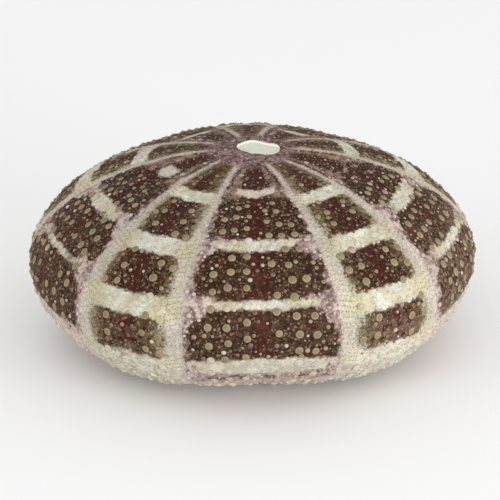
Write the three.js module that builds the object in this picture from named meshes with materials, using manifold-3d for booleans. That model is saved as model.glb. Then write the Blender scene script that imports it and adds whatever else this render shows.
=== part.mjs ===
// A sea urchin's test: the hollow limy shell that is left when the animal and its spines are gone.
// It is one grown piece. A low dome, widest at a line called the ambitus, closes under itself to a broad
// base with the mouth hole, the peristome, at its middle. The small hole on top is the periproct.
// Five ambulacra, the zones with the tube-foot pores, alternate with five wider interambulacra.
// Columns of knobs, the tubercles that the spines stood on, run down every zone, one knob to a plate.
// Units are millimetres, +Z is up, and the origin is at the middle of the plane that the base rests on.
// The middle of an interambulacrum faces -Y, and azimuths turn from there towards +X.

import * as THREE from "three";
import { ParametricGeometry } from "three/addons/geometries/ParametricGeometry.js";
import { mergeVertices } from "three/addons/utils/BufferGeometryUtils.js";
import Module from "manifold-3d";

// Overall form. The section is a superellipse above the ambitus and a squarer one below it.
const AMBITUS_RADIUS = 54.2;
const DOME = { height: 0.49 * AMBITUS_RADIUS, radialPower: 1.95, axialPower: 1.7 };
const FLANK = { depth: 0.413 * AMBITUS_RADIUS, radialPower: 4.02, axialPower: 2.44 };
const WALL = 2.2;

// The flat ring that the test rests on, and the hollow of the oral side, which rises inside it to the mouth.
const REST_RING = { inner: 25.5, outer: 29.8 };
const PERISTOME = { radius: 15.8, rise: 3.8, bend: 1.7 };
const GILL_SLITS = { width: 1.7, depth: 3.2, height: 12, azimuth: 15.5 };

// The hole on top is a little oval and a little off the axis.
const PERIPROCT = { radius: 5.35, oval: 1.14, turn: 40, x: 1.6, y: 1.9, height: 16, sides: 24 };

// Five arches that the jaw muscles were tied to stand inside the peristome, one at each ambulacrum.
const AURICLES = { radius: 17.8, width: 10, height: 10.5, opening: 0.56, depth: 1.5, lean: 14, foot: 1.6 };

// Five-fold zones, in degrees of azimuth. An ambulacrum's middle lies half a step from its neighbours'.
const ZONES = 5;
const ZONE_STEP = 360 / ZONES;

// Lines of the mesh down half of an interambulacrum and the half ambulacrum beside it, in degrees from the
// middle of the interambulacrum. A line with tubercles alternates with one in the valley beside them.
const HALF_LINES = [
  { azimuth: 0, tubercles: false },
  { azimuth: 4.1, tubercles: true },
  { azimuth: 6.5, tubercles: false },
  { azimuth: 8.9, tubercles: true },
  { azimuth: 11.1, tubercles: false },
  { azimuth: 13.3, tubercles: true },
  { azimuth: 16.4, tubercles: false },
  { azimuth: 27.5, tubercles: false },
  { azimuth: 30.4, tubercles: true },
  { azimuth: 33.2, tubercles: false },
];

// The test is slightly five-sided: it stands out at the ambulacra and lies in at the interambulacra, most of
// all where the flank turns under. Stations down the meridian give how far out it stands on average, and how
// far the lobes swing about that.
const LOBES = [
  { length: 0, mean: 0, swing: 0 },
  { length: 22, mean: -0.1, swing: 0.35 },
  { length: 44, mean: -0.1, swing: 0.35 },
  { length: 64, mean: 0, swing: 0.1 },
  { length: 79, mean: -0.5, swing: 0.85 },
  { length: 90, mean: -0.5, swing: 0.85 },
  { length: 98, mean: 0, swing: 0 },
  { length: 120, mean: 0, swing: 0 },
];

// Plates, and the tubercle in the middle of each. Lengths are measured down the meridian from the pole.
// Plates grow from the apex down to the ambitus, and the rows droop a little away from the zone's middle.
const PLATE = { young: 2.9, grown: 4.3, grownAt: 40, droop: 0.15 };
const TUBERCLES = { first: 22, last: 90, rise: 0.9, youngest: 0.5 };

// Faceting of the rest of the form.
const APICAL_ROWS = 3;
const ORAL_ROWS = 2;
const HOLLOW = { sides: 35, steps: 9, closing: 3 };
const FINE_STEPS = 300;

const COLOUR = "#8b7a66";

/** Height of the outer wall over the ambitus, at a radius. */
function domeHeight(radius) {
  const share = (radius / AMBITUS_RADIUS) ** DOME.radialPower;
  return DOME.height * Math.max(1 - share, 0) ** (1 / DOME.axialPower);
}

/** How far the flank has dropped below the ambitus, at a radius. */
function flankDrop(radius) {
  const share = (radius / AMBITUS_RADIUS) ** FLANK.radialPower;
  return FLANK.depth * Math.max(1 - share, 0) ** (1 / FLANK.axialPower);
}

/** Height of the underside at a radius, from the rest ring in to the peristome. */
function oralHeight(radius) {
  const share = Math.max(REST_RING.inner - radius, 0) / (REST_RING.inner - PERISTOME.radius);
  return PERISTOME.rise * share ** PERISTOME.bend;
}

const AMBITUS_Z = flankDrop(REST_RING.outer);

/** Fine points of the outer meridian, as radius and height, from the pole to the peristome. */
function fineMeridian() {
  const points = [];
  const flankTurn = Math.acos(REST_RING.outer / AMBITUS_RADIUS);
  for (let i = 0; i < FINE_STEPS; i += 1) {
    const radius = AMBITUS_RADIUS * Math.sin((i / FINE_STEPS) * (Math.PI / 2));
    points.push(new THREE.Vector2(radius, AMBITUS_Z + domeHeight(radius)));
  }
  for (let i = 0; i < FINE_STEPS; i += 1) {
    const radius = AMBITUS_RADIUS * Math.cos((i / FINE_STEPS) * flankTurn);
    points.push(new THREE.Vector2(radius, AMBITUS_Z - flankDrop(radius)));
  }
  for (let i = 0; i <= FINE_STEPS; i += 1) {
    const radius = THREE.MathUtils.lerp(REST_RING.outer, PERISTOME.radius, i / FINE_STEPS);
    points.push(new THREE.Vector2(radius, oralHeight(radius)));
  }
  return points;
}

/** The length of a line of points, up to each of them. */
function lengthsTo(points) {
  const lengths = [0];
  for (let i = 1; i < points.length; i += 1) {
    lengths.push(lengths[i - 1] + points[i].distanceTo(points[i - 1]));
  }
  return lengths;
}

const MERIDIAN = fineMeridian();
const REACHED = lengthsTo(MERIDIAN);
const MERIDIAN_LENGTH = REACHED[REACHED.length - 1];

/** The length from the pole at which the underside comes in to a radius. */
function oralLengthAt(radius) {
  const found = MERIDIAN.findLastIndex((point) => point.x >= radius);
  return REACHED[found];
}

/** The point of the outer meridian at a length from the pole, and the direction out of the wall there. */
function meridianAt(length) {
  const next = Math.max(REACHED.findIndex((reached) => reached >= length), 1);
  const share = (length - REACHED[next - 1]) / (REACHED[next] - REACHED[next - 1]);
  const along = MERIDIAN[next].clone().sub(MERIDIAN[next - 1]).normalize();
  return {
    point: MERIDIAN[next - 1].clone().lerp(MERIDIAN[next], share),
    outward: new THREE.Vector2(-along.y, along.x),
  };
}

/** How far the lobes make the wall stand out at an azimuth and a length. */
function lobeAt(azimuth, length) {
  const next = Math.max(LOBES.findIndex((station) => station.length >= length), 1);
  const [above, below] = [LOBES[next - 1], LOBES[next]];
  const share = THREE.MathUtils.smoothstep(length, above.length, below.length);
  const swing = THREE.MathUtils.lerp(above.swing, below.swing, share);
  const mean = THREE.MathUtils.lerp(above.mean, below.mean, share);
  return mean - swing * Math.cos(THREE.MathUtils.degToRad(azimuth) * ZONES);
}

/** Sets the target to the point at an azimuth and a length that stands so far out from the wall. */
function setOnWall(target, azimuth, length, out) {
  const { point, outward } = meridianAt(length);
  const { x: radius, y: height } = point.addScaledVector(outward, out + lobeAt(azimuth, length));
  const turn = THREE.MathUtils.degToRad(azimuth);
  target.set(radius * Math.sin(turn), -radius * Math.cos(turn), height);
}

/** How far a plate at a length has grown, from 0 at the pole to 1. */
function growthAt(length) {
  return Math.min(length / PLATE.grownAt, 1);
}

/** Height of the plates at a length from the pole. */
function plateHeight(length) {
  return THREE.MathUtils.lerp(PLATE.young, PLATE.grown, growthAt(length));
}

/** All lines round the test. Each has its azimuth, and how far down its row of plates is shifted. */
function linesAround() {
  const half = ZONE_STEP / 2;
  const ambulacrumMiddle = { azimuth: half, tubercles: false };
  const others = HALF_LINES.slice(1).reverse();
  const mirrored = others.map((line) => ({ ...line, azimuth: ZONE_STEP - line.azimuth }));
  const step = [...HALF_LINES, ambulacrumMiddle, ...mirrored];
  const lines = [];
  for (let zone = 0; zone < ZONES; zone += 1) {
    for (const { azimuth, tubercles } of step) {
      const offMiddle = Math.min(azimuth, Math.abs(azimuth - half), ZONE_STEP - azimuth);
      const stagger = offMiddle === 0 ? 0.25 : azimuth < half ? 0.5 : 0;
      lines.push({ azimuth: azimuth + zone * ZONE_STEP, tubercles, stagger, droop: PLATE.droop * offMiddle });
    }
  }
  return lines;
}

/** All rows from the pole to the peristome. Rows of tubercles alternate with valley rows, and can shift. */
function rowsDown() {
  const rows = [];
  for (let i = 0; i < APICAL_ROWS; i += 1) {
    rows.push({ length: (TUBERCLES.first * i) / APICAL_ROWS, tubercles: false, shifts: false });
  }
  let length = TUBERCLES.first;
  while (length <= TUBERCLES.last) {
    const step = plateHeight(length) / 2;
    rows.push({ length: length - step / 2, tubercles: false, shifts: true });
    rows.push({ length: length + step / 2, tubercles: true, shifts: true });
    length += 2 * step;
  }
  for (const radius of [REST_RING.outer, REST_RING.inner]) {
    rows.push({ length: oralLengthAt(radius), tubercles: false, shifts: false });
  }
  const ringEnd = oralLengthAt(REST_RING.inner);
  for (let i = 1; i <= ORAL_ROWS; i += 1) {
    const oral = THREE.MathUtils.lerp(ringEnd, MERIDIAN_LENGTH, i / ORAL_ROWS);
    rows.push({ length: oral, tubercles: false, shifts: false });
  }
  return rows;
}

/** The outer form with its tubercles, as a solid closed across the peristome. */
function outerGeometry() {
  const lines = linesAround();
  const rows = rowsDown();
  const surface = (u, v, target) => {
    const line = lines[Math.round(u * lines.length) % lines.length];
    const row = rows[Math.round((1 - v) * rows.length)];
    if (!row) {
      target.set(0, 0, PERISTOME.rise);
      return;
    }
    const shift = row.shifts ? line.stagger * plateHeight(row.length) + line.droop : 0;
    const length = row.length + shift;
    const grown = THREE.MathUtils.lerp(TUBERCLES.youngest, 1, growthAt(length));
    const out = line.tubercles && row.tubercles ? TUBERCLES.rise * grown : 0;
    setOnWall(target, line.azimuth, length, out);
    target.z = Math.max(target.z, 0);
  };
  return new ParametricGeometry(surface, lines.length, rows.length);
}

/** The space inside the wall, which also opens the peristome. */
function hollowGeometry() {
  const { sides, steps, closing } = HOLLOW;
  const surface = (u, v, target) => {
    const azimuth = ((Math.round(u * sides) % sides) * 360) / sides;
    const turn = THREE.MathUtils.degToRad(azimuth);
    const step = Math.round((1 - v) * (steps + closing));
    const [outX, outY] = [PERISTOME.radius * Math.sin(turn), -PERISTOME.radius * Math.cos(turn)];
    if (step === 0) {
      target.set(0, 0, MERIDIAN[0].y - WALL);
    } else if (step <= steps) {
      setOnWall(target, azimuth, (MERIDIAN_LENGTH * step) / steps, -WALL);
    } else if (step < steps + closing) {
      target.set(outX, outY, step === steps + 1 ? PERISTOME.rise + WALL / 3 : -WALL);
    } else {
      target.set(0, 0, -WALL);
    }
  };
  return new ParametricGeometry(surface, sides, steps + closing);
}

/** Moves a geometry that was made round the origin to an azimuth, a radius and a height. */
function placeAt(geometry, azimuth, radius, height) {
  return geometry.translate(0, -radius, height).rotateZ(THREE.MathUtils.degToRad(azimuth));
}

/** The plug that opens the periproct. */
function periproctGeometry() {
  const { radius, oval, turn, x, y, height, sides } = PERIPROCT;
  return new THREE.CylinderGeometry(radius, radius, height, sides)
    .rotateX(Math.PI / 2)
    .scale(oval, 1 / oval, 1)
    .rotateZ(THREE.MathUtils.degToRad(-turn))
    .translate(x, y, MERIDIAN[0].y);
}

/** The slit that a gill passed through, in the rim of the peristome. */
function gillSlitGeometry(azimuth) {
  const { width, depth, height } = GILL_SLITS;
  return placeAt(new THREE.BoxGeometry(width, 2 * depth, height), azimuth, PERISTOME.radius, PERISTOME.rise);
}

/** One auricle: a leaning arch whose feet are sunk in the rim of the peristome. */
function auricleGeometry(azimuth) {
  const { radius, width, height, opening, depth, lean, foot } = AURICLES;
  const shoulder = height * 0.55;
  const arch = new THREE.Shape();
  arch.moveTo(-width / 2, 0);
  arch.lineTo(width / 2, 0);
  arch.lineTo(width / 2, shoulder);
  arch.quadraticCurveTo(width / 2, height, 0, height);
  arch.quadraticCurveTo(-width / 2, height, -width / 2, shoulder);
  const window = new THREE.Path();
  window.absellipse(0, height / 2, (width * opening) / 2, (height * opening) / 2, 0, 2 * Math.PI);
  arch.holes.push(window);
  const plate = new THREE.ExtrudeGeometry(arch, { depth, bevelEnabled: false, curveSegments: 5 });
  plate.rotateX(Math.PI / 2 - THREE.MathUtils.degToRad(lean));
  return placeAt(plate, azimuth, radius, PERISTOME.rise + WALL - foot);
}

/** A closed geometry as a manifold-3d solid. */
function solidFrom(geometry) {
  geometry.deleteAttribute("normal");
  geometry.deleteAttribute("uv");
  const merged = mergeVertices(geometry, 1e-4);
  return new wasm.Manifold(
    new wasm.Mesh({
      numProp: 3,
      vertProperties: merged.attributes.position.array,
      triVerts: merged.index.array,
    }),
  );
}

/** The geometry of a manifold-3d solid. */
function geometryFrom(solid) {
  const { vertProperties, triVerts } = solid.getMesh();
  const geometry = new THREE.BufferGeometry();
  geometry.setAttribute("position", new THREE.BufferAttribute(vertProperties, 3));
  geometry.setIndex(new THREE.BufferAttribute(triVerts, 1));
  geometry.computeVertexNormals();
  return geometry;
}

/** The whole test: the wall and its tubercles, opened at both poles, with the auricles inside. */
function testGeometry() {
  let test = solidFrom(outerGeometry()).subtract(solidFrom(hollowGeometry()));
  for (let zone = 0; zone < ZONES; zone += 1) {
    const middle = (zone + 0.5) * ZONE_STEP;
    test = test.add(solidFrom(auricleGeometry(middle)));
    for (const side of [-1, 1]) {
      test = test.subtract(solidFrom(gillSlitGeometry(middle + side * GILL_SLITS.azimuth)));
    }
  }
  return geometryFrom(test.subtract(solidFrom(periproctGeometry())));
}

const wasm = await Module();
wasm.setup();

const test = new THREE.Mesh(
  testGeometry(),
  new THREE.MeshStandardMaterial({ color: COLOUR, roughness: 0.75, metalness: 0 }),
);
test.name = "urchin_test";

const urchin = new THREE.Group();
urchin.add(test);

export default urchin;
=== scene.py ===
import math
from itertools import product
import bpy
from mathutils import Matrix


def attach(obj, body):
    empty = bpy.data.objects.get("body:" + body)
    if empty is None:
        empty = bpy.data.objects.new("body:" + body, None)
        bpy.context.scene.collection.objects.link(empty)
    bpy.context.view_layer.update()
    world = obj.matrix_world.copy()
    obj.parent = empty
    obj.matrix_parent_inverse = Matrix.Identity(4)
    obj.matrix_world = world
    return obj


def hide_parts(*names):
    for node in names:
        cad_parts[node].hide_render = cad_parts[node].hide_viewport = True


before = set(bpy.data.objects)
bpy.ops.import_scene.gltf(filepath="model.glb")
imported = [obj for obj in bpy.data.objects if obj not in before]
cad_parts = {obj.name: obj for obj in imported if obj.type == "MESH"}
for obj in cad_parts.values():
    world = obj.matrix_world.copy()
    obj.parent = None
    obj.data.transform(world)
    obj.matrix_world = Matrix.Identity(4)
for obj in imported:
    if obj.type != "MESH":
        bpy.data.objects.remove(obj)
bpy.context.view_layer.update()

# A cleaned sea urchin test: a hollow dome with five ambulacra, the zones of pores, between five wider
# interambulacra, with columns of tubercles, and pale bars across dark panels. Lengths are in millimetres
# until a mesh is made. An azimuth is in degrees from -Y towards +X, and a length runs down the meridian.

from types import SimpleNamespace

import bpy
import numpy as np
from mathutils import Matrix, Vector

MM = 0.001
RANDOM = np.random.default_rng(11)

# Overall form, as in the solid.
AMBITUS_RADIUS = 54.2
DOME = {"height": 0.49 * AMBITUS_RADIUS, "radial": 1.95, "axial": 1.7}
FLANK = {"depth": 0.413 * AMBITUS_RADIUS, "radial": 4.02, "axial": 2.44}
REST_RING = {"inner": 25.5, "outer": 29.8}
PERISTOME = {"radius": 15.8, "rise": 3.8, "bend": 1.7}
PERIPROCT = {"radius": 5.0, "oval": 1.14, "turn": 40.0, "x": 1.9, "y": 2.2, "rim": 0.9}
GILL_SLITS = {"width": 1.7, "depth": 3.0, "azimuth": 15.5}
AURICLES = {"radius": 17.4, "width": 8.4, "height": 10.4, "lean": 14.0, "thick": 1.3, "broad": 2.3}
WALL = 2.2

# Zones, in degrees of azimuth. The pore zones are the two edges of an ambulacrum.
ZONES = 5
ZONE_STEP = 72.0
INTER_HALF = 20.75
AMBU_HALF = ZONE_STEP / 2 - INTER_HALF
PORE_ZONE = 4.9
PORES_FROM = AMBU_HALF - PORE_ZONE

# Plates, by length down the meridian, and the droop of a row for each degree off the middle. The rows are
# laid up and down from the first one.
PLATE = {"young": 2.9, "grown": 4.3, "grown_at": 40.0, "droop": 0.15}
ROWS = {"first": 22.0, "top": 6, "upward": 0.94, "end": 2}

# How far the wall stands out on average, and how far its five lobes swing about that, down the meridian.
LOBE_LENGTHS = [0, 22, 44, 64, 79, 90, 98, 120]
LOBE_MEANS = [0, -0.1, -0.1, 0, -0.5, -0.5, 0, 0]
LOBE_SWINGS = [0, 0.35, 0.35, 0.1, 0.85, 0.85, 0, 0]

# How far the wall's small forms stand out, and how wide or soft they are.
PLATES_OUT = 0.3
SWELL = 0.16
FURROW, FURROW_WIDTH = -0.28, 1.3
PORES_SUNK, PORES_EDGE = -0.22, 0.6
SEAM, SEAM_WIDTH = -0.12, 0.45
ROW_SWELL = 0.07
RING_LIFT, RING_LENGTHS = -0.5, 11

# The camera is fitted to the photograph. Distance and offset are in radii of the ambitus with its tubercles.
CAMERA = {
    "radius": 55.0,
    "distance": 20.0,
    "pixels_per_radius": 224.744,
    "elevation": 22.482,
    "azimuth": -2.25,
    "roll": -0.757,
    "across": -0.00986,
    "image": 500.0,
    "sensor": 36.0,
    "clip": (0.1, 20.0),
}


# Form

def bulge(radius, form):
    """Height over a radius, as a share of the form's own: 1 on the axis and 0 at the ambitus."""
    return np.maximum(1 - (radius / AMBITUS_RADIUS) ** form["radial"], 0) ** (1 / form["axial"])


def dome_height(radius):
    return DOME["height"] * bulge(radius, DOME)


def flank_drop(radius):
    return FLANK["depth"] * bulge(radius, FLANK)


def oral_height(radius):
    share = np.maximum(REST_RING["inner"] - radius, 0) / (REST_RING["inner"] - PERISTOME["radius"])
    return PERISTOME["rise"] * share ** PERISTOME["bend"]


AMBITUS_Z = float(flank_drop(REST_RING["outer"]))


def meridian_table(steps=1500, smoothing=31):
    """The outer meridian, from the pole to the peristome: length, radius, height and the way out."""
    rise = np.linspace(0, math.pi / 2, steps, endpoint=False)
    fall = np.linspace(0, math.acos(REST_RING["outer"] / AMBITUS_RADIUS), steps, endpoint=False)
    upper = AMBITUS_RADIUS * np.sin(rise)
    lower = AMBITUS_RADIUS * np.cos(fall)
    oral = np.linspace(REST_RING["outer"], PERISTOME["radius"], steps)
    radius = np.concatenate([upper, lower, oral])
    height = [AMBITUS_Z + dome_height(upper), AMBITUS_Z - flank_drop(lower), oral_height(oral)]
    height = np.concatenate(height)
    length = np.concatenate([[0], np.cumsum(np.hypot(np.diff(radius), np.diff(height)))])
    even = np.linspace(0, length[-1], 3 * steps)
    radius = np.interp(even, length, radius)
    height = np.interp(even, length, height)
    along_r = np.gradient(radius, even)
    along_z = np.gradient(height, even)
    window = np.ones(smoothing) / smoothing
    pad = smoothing // 2
    out_r = np.convolve(np.pad(-along_z, pad, mode="edge"), window, mode="valid")
    out_z = np.convolve(np.pad(along_r, pad, mode="edge"), window, mode="valid")
    size = np.hypot(out_r, out_z)
    return even, radius, height, out_r / size, out_z / size


LENGTHS, RADII, HEIGHTS, OUT_R, OUT_Z = meridian_table()
FULL_LENGTH = float(LENGTHS[-1])
THIRD = len(RADII) // 3


def length_above(radius):
    """How far down the meridian a radius of the dome lies."""
    return np.interp(radius, RADII[:THIRD], LENGTHS[:THIRD])


def length_below(radius):
    """How far down the meridian a radius of the underside lies."""
    return np.interp(-radius, -RADII[2 * THIRD:], LENGTHS[2 * THIRD:])


RING_LENGTH = length_below((REST_RING["outer"] + REST_RING["inner"]) / 2)


def radius_at(length):
    return np.interp(length, LENGTHS, RADII)


def mm_per_degree(length):
    return np.maximum(radius_at(length), 0.5) * math.pi / 180


def smooth(low, high, value):
    """0 below low, 1 above high and a smooth step between them."""
    share = np.clip((value - low) / (high - low), 0, 1)
    return share * share * (3 - 2 * share)


def zone_of(azimuth):
    """Whether an azimuth is in an interambulacrum, the index of its zone, and its offset from the middle."""
    inter_step = np.floor((azimuth + ZONE_STEP / 2) / ZONE_STEP)
    inter_offset = azimuth - inter_step * ZONE_STEP
    ambu_step = np.floor(azimuth / ZONE_STEP)
    ambu_offset = azimuth - (ambu_step + 0.5) * ZONE_STEP
    inter = np.abs(inter_offset) < INTER_HALF
    index = np.where(inter, inter_step % ZONES, ambu_step % ZONES).astype(int)
    return inter, index, np.where(inter, inter_offset, ambu_offset)


# Sines over azimuth and length: turns round the shell, pace down it, phase and size.
WAVES = [
    (RANDOM.integers(1, 9), RANDOM.uniform(0.02, 0.16), RANDOM.uniform(0, math.tau), RANDOM.uniform(0.3, 1.0))
    for _ in range(14)
]
WAVES_REACH = 3.2


def unevenness(azimuth, length):
    """Slow swells of a shell that grew, from about -1 to 1."""
    total = np.zeros(np.broadcast(azimuth, length).shape)
    for turns, pace, phase, size in WAVES:
        total = total + size * np.sin(np.radians(azimuth) * turns + length * pace + phase)
    return total / WAVES_REACH


def hump(value, width):
    return np.exp(-((value / width) ** 2))


def relief(azimuth, length):
    """How far the wall stands out from the plain form."""
    inter, _, offset = zone_of(azimuth)
    off = np.abs(offset)
    wide = mm_per_degree(length)
    grown = smooth(8, 40, length)
    plates_out = PLATES_OUT * smooth(4, 20, length) * smooth(88, 70, length)
    swell = SWELL * unevenness(azimuth, length)
    lobes = np.interp(length, LOBE_LENGTHS, LOBE_MEANS)
    lobes = lobes - np.interp(length, LOBE_LENGTHS, LOBE_SWINGS) * np.cos(np.radians(azimuth) * ZONES)
    furrow = FURROW * hump(off * wide, FURROW_WIDTH) * grown
    pore = np.where(inter, 0, smooth(PORES_FROM - PORES_EDGE, PORES_FROM + PORES_EDGE, off))
    pores_sunk = PORES_SUNK * pore * grown
    seam = SEAM * hump(np.where(inter, INTER_HALF - off, AMBU_HALF - off) * wide, SEAM_WIDTH) * grown
    row = (length - PLATE["droop"] * off) / PLATE["grown"] + np.where(offset > 0, 0.5, 0)
    rows = ROW_SWELL * np.cos(2 * math.pi * row) * grown * (1 - pore)
    lift = RING_LIFT * hump(length - RING_LENGTH, RING_LENGTHS)
    return plates_out + swell + lobes + furrow + pores_sunk + seam + rows + lift


def on_wall(azimuth, length, out=0.0):
    """Points on the outer wall, or so far out from it, and the directions out of it."""
    azimuth, length = np.broadcast_arrays(azimuth, length)
    turn = np.radians(azimuth)
    out_r, out_z = np.interp(length, LENGTHS, OUT_R), np.interp(length, LENGTHS, OUT_Z)
    stand = relief(azimuth, length) + out
    radius = radius_at(length) + stand * out_r
    height = np.interp(length, LENGTHS, HEIGHTS) + stand * out_z
    place = np.stack([radius * np.sin(turn), -radius * np.cos(turn), height], -1)
    normal = np.stack([out_r * np.sin(turn), -out_r * np.cos(turn), out_z], -1)
    return place, normal


# Colours of the pattern, as sRGB of 0 to 255

CREAM = (214, 204, 178)
WHITE_GREEN = (220, 220, 206)
YELLOW_CREAM = (203, 195, 164)
PALE_BASE = (214, 210, 194)
GREY_CREAM = (206, 201, 186)
PINK_BASE = (208, 190, 182)
PALE_PORES = (210, 201, 186)
OLIVE_CREAM = (146, 133, 98)
OLIVE = (126, 113, 78)
DARK_OLIVE = (44, 30, 13)
DARK_BROWN = (60, 29, 18)
MID_BROWN = (114, 85, 68)
BURGUNDY = (80, 30, 26)
KHAKI = (146, 131, 100)
TAN = (150, 128, 102)
MAUVE = (172, 149, 144)
PURPLE = (122, 94, 90)
PINK = (208, 192, 182)
DULL_PINK = (178, 156, 145)
BLACK_RED = (58, 26, 18)
PORE_SPECK = (84, 68, 42)
# Painted shade: the dark of an open hole, laid on the middle of each pore.
PORE_HOLE_SHADE = (66, 50, 32)
YOUNG_SEAM = (200, 178, 168)
BAR_SPECK = (146, 130, 100)
BAR_GREY = (182, 172, 154)
BASE_MOTTLE = (182, 166, 152)
BASE_SPECK = (142, 122, 108)
SEAM_LINE = (212, 198, 190)
TOP_SPOT = (62, 40, 36)
KNOB_RING = (192, 180, 150)
KNOB_GROOVE = (104, 84, 56)
KNOB_MOTTLE = (124, 102, 80)
GRAIN_OLIVE = (116, 102, 72)
GRAIN_BROWN = (138, 112, 100)

# Two colours each, for mottling.
BLOTCHES = (104, 82, 54), (110, 70, 62)
FADED = (182, 160, 154), (112, 88, 82)
WORN = (112, 90, 64), (152, 126, 108)
YOUNG = (124, 104, 82), (168, 144, 130)
YOUNG_FLANK = (98, 70, 58), (160, 132, 116)
APICAL = (94, 66, 60), (144, 116, 112)
INNER = (232, 234, 226), (224, 222, 212)
ARCHES = (226, 220, 206), (204, 188, 176)

# Paint is laid on at this share, as the studio light is brighter than daylight.
PAINT = 0.9


def linear(colour):
    """An sRGB colour of 0 to 255 as linear RGB."""
    share = np.asarray(colour, float) / 255
    return PAINT * np.where(share <= 0.04045, share / 12.92, ((share + 0.055) / 1.055) ** 2.4)


# Bars of pale plates in each zone: the length at the middle, half the width, and the degrees reached to each
# side. Zone 0 is the interambulacrum in front or the ambulacrum to its right.
INTER_BARS = [
    [(22.6, 1.5, 13.0), (40.3, 1.7, 13.2), (56.4, 1.1, 15.5), (72.6, 2.8, 17.0), (90.0, 2.4, 14.0),
     (104.0, 2.0, 14.0)],
    [(24.0, 0.3, 9.0), (39.3, 2.1, 12.6), (54.8, 1.2, 14.0), (71.5, 2.6, 17.0), (88.5, 2.5, 14.0),
     (103.0, 2.0, 14.0)],
    [(21.0, 1.7, 9.0), (40.4, 1.8, 13.0), (56.0, 1.3, 14.0), (71.6, 2.4, 15.0), (89.0, 2.2, 14.0),
     (103.5, 2.0, 14.0)],
    [(22.8, 1.2, 12.0), (39.8, 1.6, 13.4), (55.4, 1.1, 15.0), (71.2, 2.4, 15.5), (89.5, 2.4, 14.0),
     (104.5, 2.0, 14.0)],
    [(21.8, 2.2, 7.6), (39.3, 2.1, 12.6), (54.1, 0.8, 13.8), (71.8, 2.6, 17.0), (88.0, 2.4, 14.0),
     (103.0, 2.0, 14.0)],
]
AMBU_BARS = [
    [(27.1, 2.0), (43.2, 2.4), (59.0, 2.5), (73.9, 3.1), (91.0, 2.8), (105.0, 2.2)],
    [(25.1, 1.9), (42.0, 2.5), (58.6, 2.5), (73.2, 3.0), (90.0, 2.8), (104.5, 2.2)],
    [(26.4, 1.8), (43.2, 2.3), (59.6, 2.5), (74.0, 3.2), (90.5, 2.8), (105.0, 2.2)],
    [(27.6, 2.0), (43.2, 2.6), (58.9, 2.4), (73.6, 3.2), (89.5, 2.8), (104.0, 2.2)],
    [(25.8, 2.0), (43.1, 2.5), (58.8, 2.5), (74.8, 3.3), (90.0, 2.8), (104.5, 2.2)],
]
# The length at which each zone turns pale, and how much later an ambulacrum does for each degree off its
# middle.
INTER_PALE = [79.6, 69.6, 78.0, 78.5, 69.8]
AMBU_PALE = [70.2, 70.6, 71.2, 70.4, 70.0]
PALE_DROOP = 0.26
# How far a bar of an interambulacrum droops for each degree off the middle. The first turns up at its ends.
FIRST_DROOP, BAR_DROOP, FIRST_BAR = -0.09, 0.02, 30
# How many degrees the dark panels reach to each side.
PANEL_REACH = {"inter": 19.4, "ambu": 10.5, "ambu_low": 9.2}
# How worn and pale the lowest dark panels of each zone are.
INTER_WORN = [0.1, 0.55, 0.2, 0.3, 0.15]
AMBU_WORN = [0.6, 0.5, 0.4, 0.4, 0.35]
# Below each bar of an interambulacrum, a pale shoulder narrows down to the seam.
SHOULDER = {"from": 12.0, "slope": 1.15, "above": 1.6}
FRINGE_FROM = 19.2
APEX_LENGTH = 10.5
# Distances well outside, and past the end of every stretch.
FAR_OUT, FAR_IN = -9, 130


def fields(azimuth, length):
    """Signed distances in millimetres, positive inside, that the colours of the wall follow."""
    azimuth, length = np.broadcast_arrays(azimuth, length)
    inter, index, offset = zone_of(azimuth)
    off = np.abs(offset)
    wide = mm_per_degree(length)
    bar = np.full(azimuth.shape, float(FAR_OUT))
    shoulder = bar.copy()
    for zone in range(ZONES):
        here = inter & (index == zone)
        down, side, scale = length[here], off[here], wide[here]
        for middle, half, reach in INTER_BARS[zone]:
            droop = FIRST_DROOP if middle < FIRST_BAR else BAR_DROOP
            thick = half * (1 - 0.35 * np.minimum(side / reach, 1) ** 2)
            inside = np.minimum(thick - np.abs(down - droop * side - middle), (reach - side) * scale)
            bar[here] = np.maximum(bar[here], inside)
            below = np.maximum(down - middle, 0)
            flank = (side - SHOULDER["from"] - SHOULDER["slope"] * below) * scale
            top = down - middle + SHOULDER["above"]
            size = min(middle / PLATE["grown_at"], 1)
            shoulder[here] = np.maximum(shoulder[here], np.minimum(flank - 2 * (1 - size), top))
        here = ~inter & (index == zone)
        down = length[here]
        for middle, half in AMBU_BARS[zone]:
            bar[here] = np.maximum(bar[here], half - np.abs(down - middle))
    pale_from = np.where(inter, np.take(INTER_PALE, index), np.take(AMBU_PALE, index))
    pale_from = pale_from + off * np.where(inter, 0, PALE_DROOP)
    low = smooth(52, 64, length)
    ambu_reach = PANEL_REACH["ambu"] * (1 - low) + PANEL_REACH["ambu_low"] * low
    panel = np.where(inter, PANEL_REACH["inter"] - off, ambu_reach - off) * wide
    inter_worn = np.take(INTER_WORN, index) * smooth(42, 56, length)
    ambu_worn = np.take(AMBU_WORN, index) * smooth(58, 68, length)
    fringe = np.where(inter, (off - FRINGE_FROM) * wide, FAR_OUT)
    return {
        "bar": bar,
        "mauve": np.maximum(shoulder, fringe),
        "panel": panel,
        "middle": off * wide,
        "pale": length - pale_from,
        "seam": np.where(inter, INTER_HALF - off, AMBU_HALF - off) * wide,
        "apex": APEX_LENGTH - length,
        "flank": np.where(inter, np.minimum(off * wide - 0.17 * length, 25.0 - length), FAR_OUT),
        "down": length,
        "worn": np.where(inter, inter_worn, ambu_worn),
        "pore": np.where(inter, FAR_OUT, (off - AMBU_HALF + PORE_ZONE) * wide),
        "inter": np.where(inter, 1.0, 0.0),
    }


def pick(weights, colours, count):
    """One of the colours for each of count things, by weight, each a little lighter or darker."""
    table = np.array([linear(colour) for colour in colours])
    chosen = RANDOM.choice(len(colours), count, p=np.array(weights) / np.sum(weights))
    return table[chosen] * RANDOM.uniform(0.85, 1.15, (count, 1))


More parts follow.
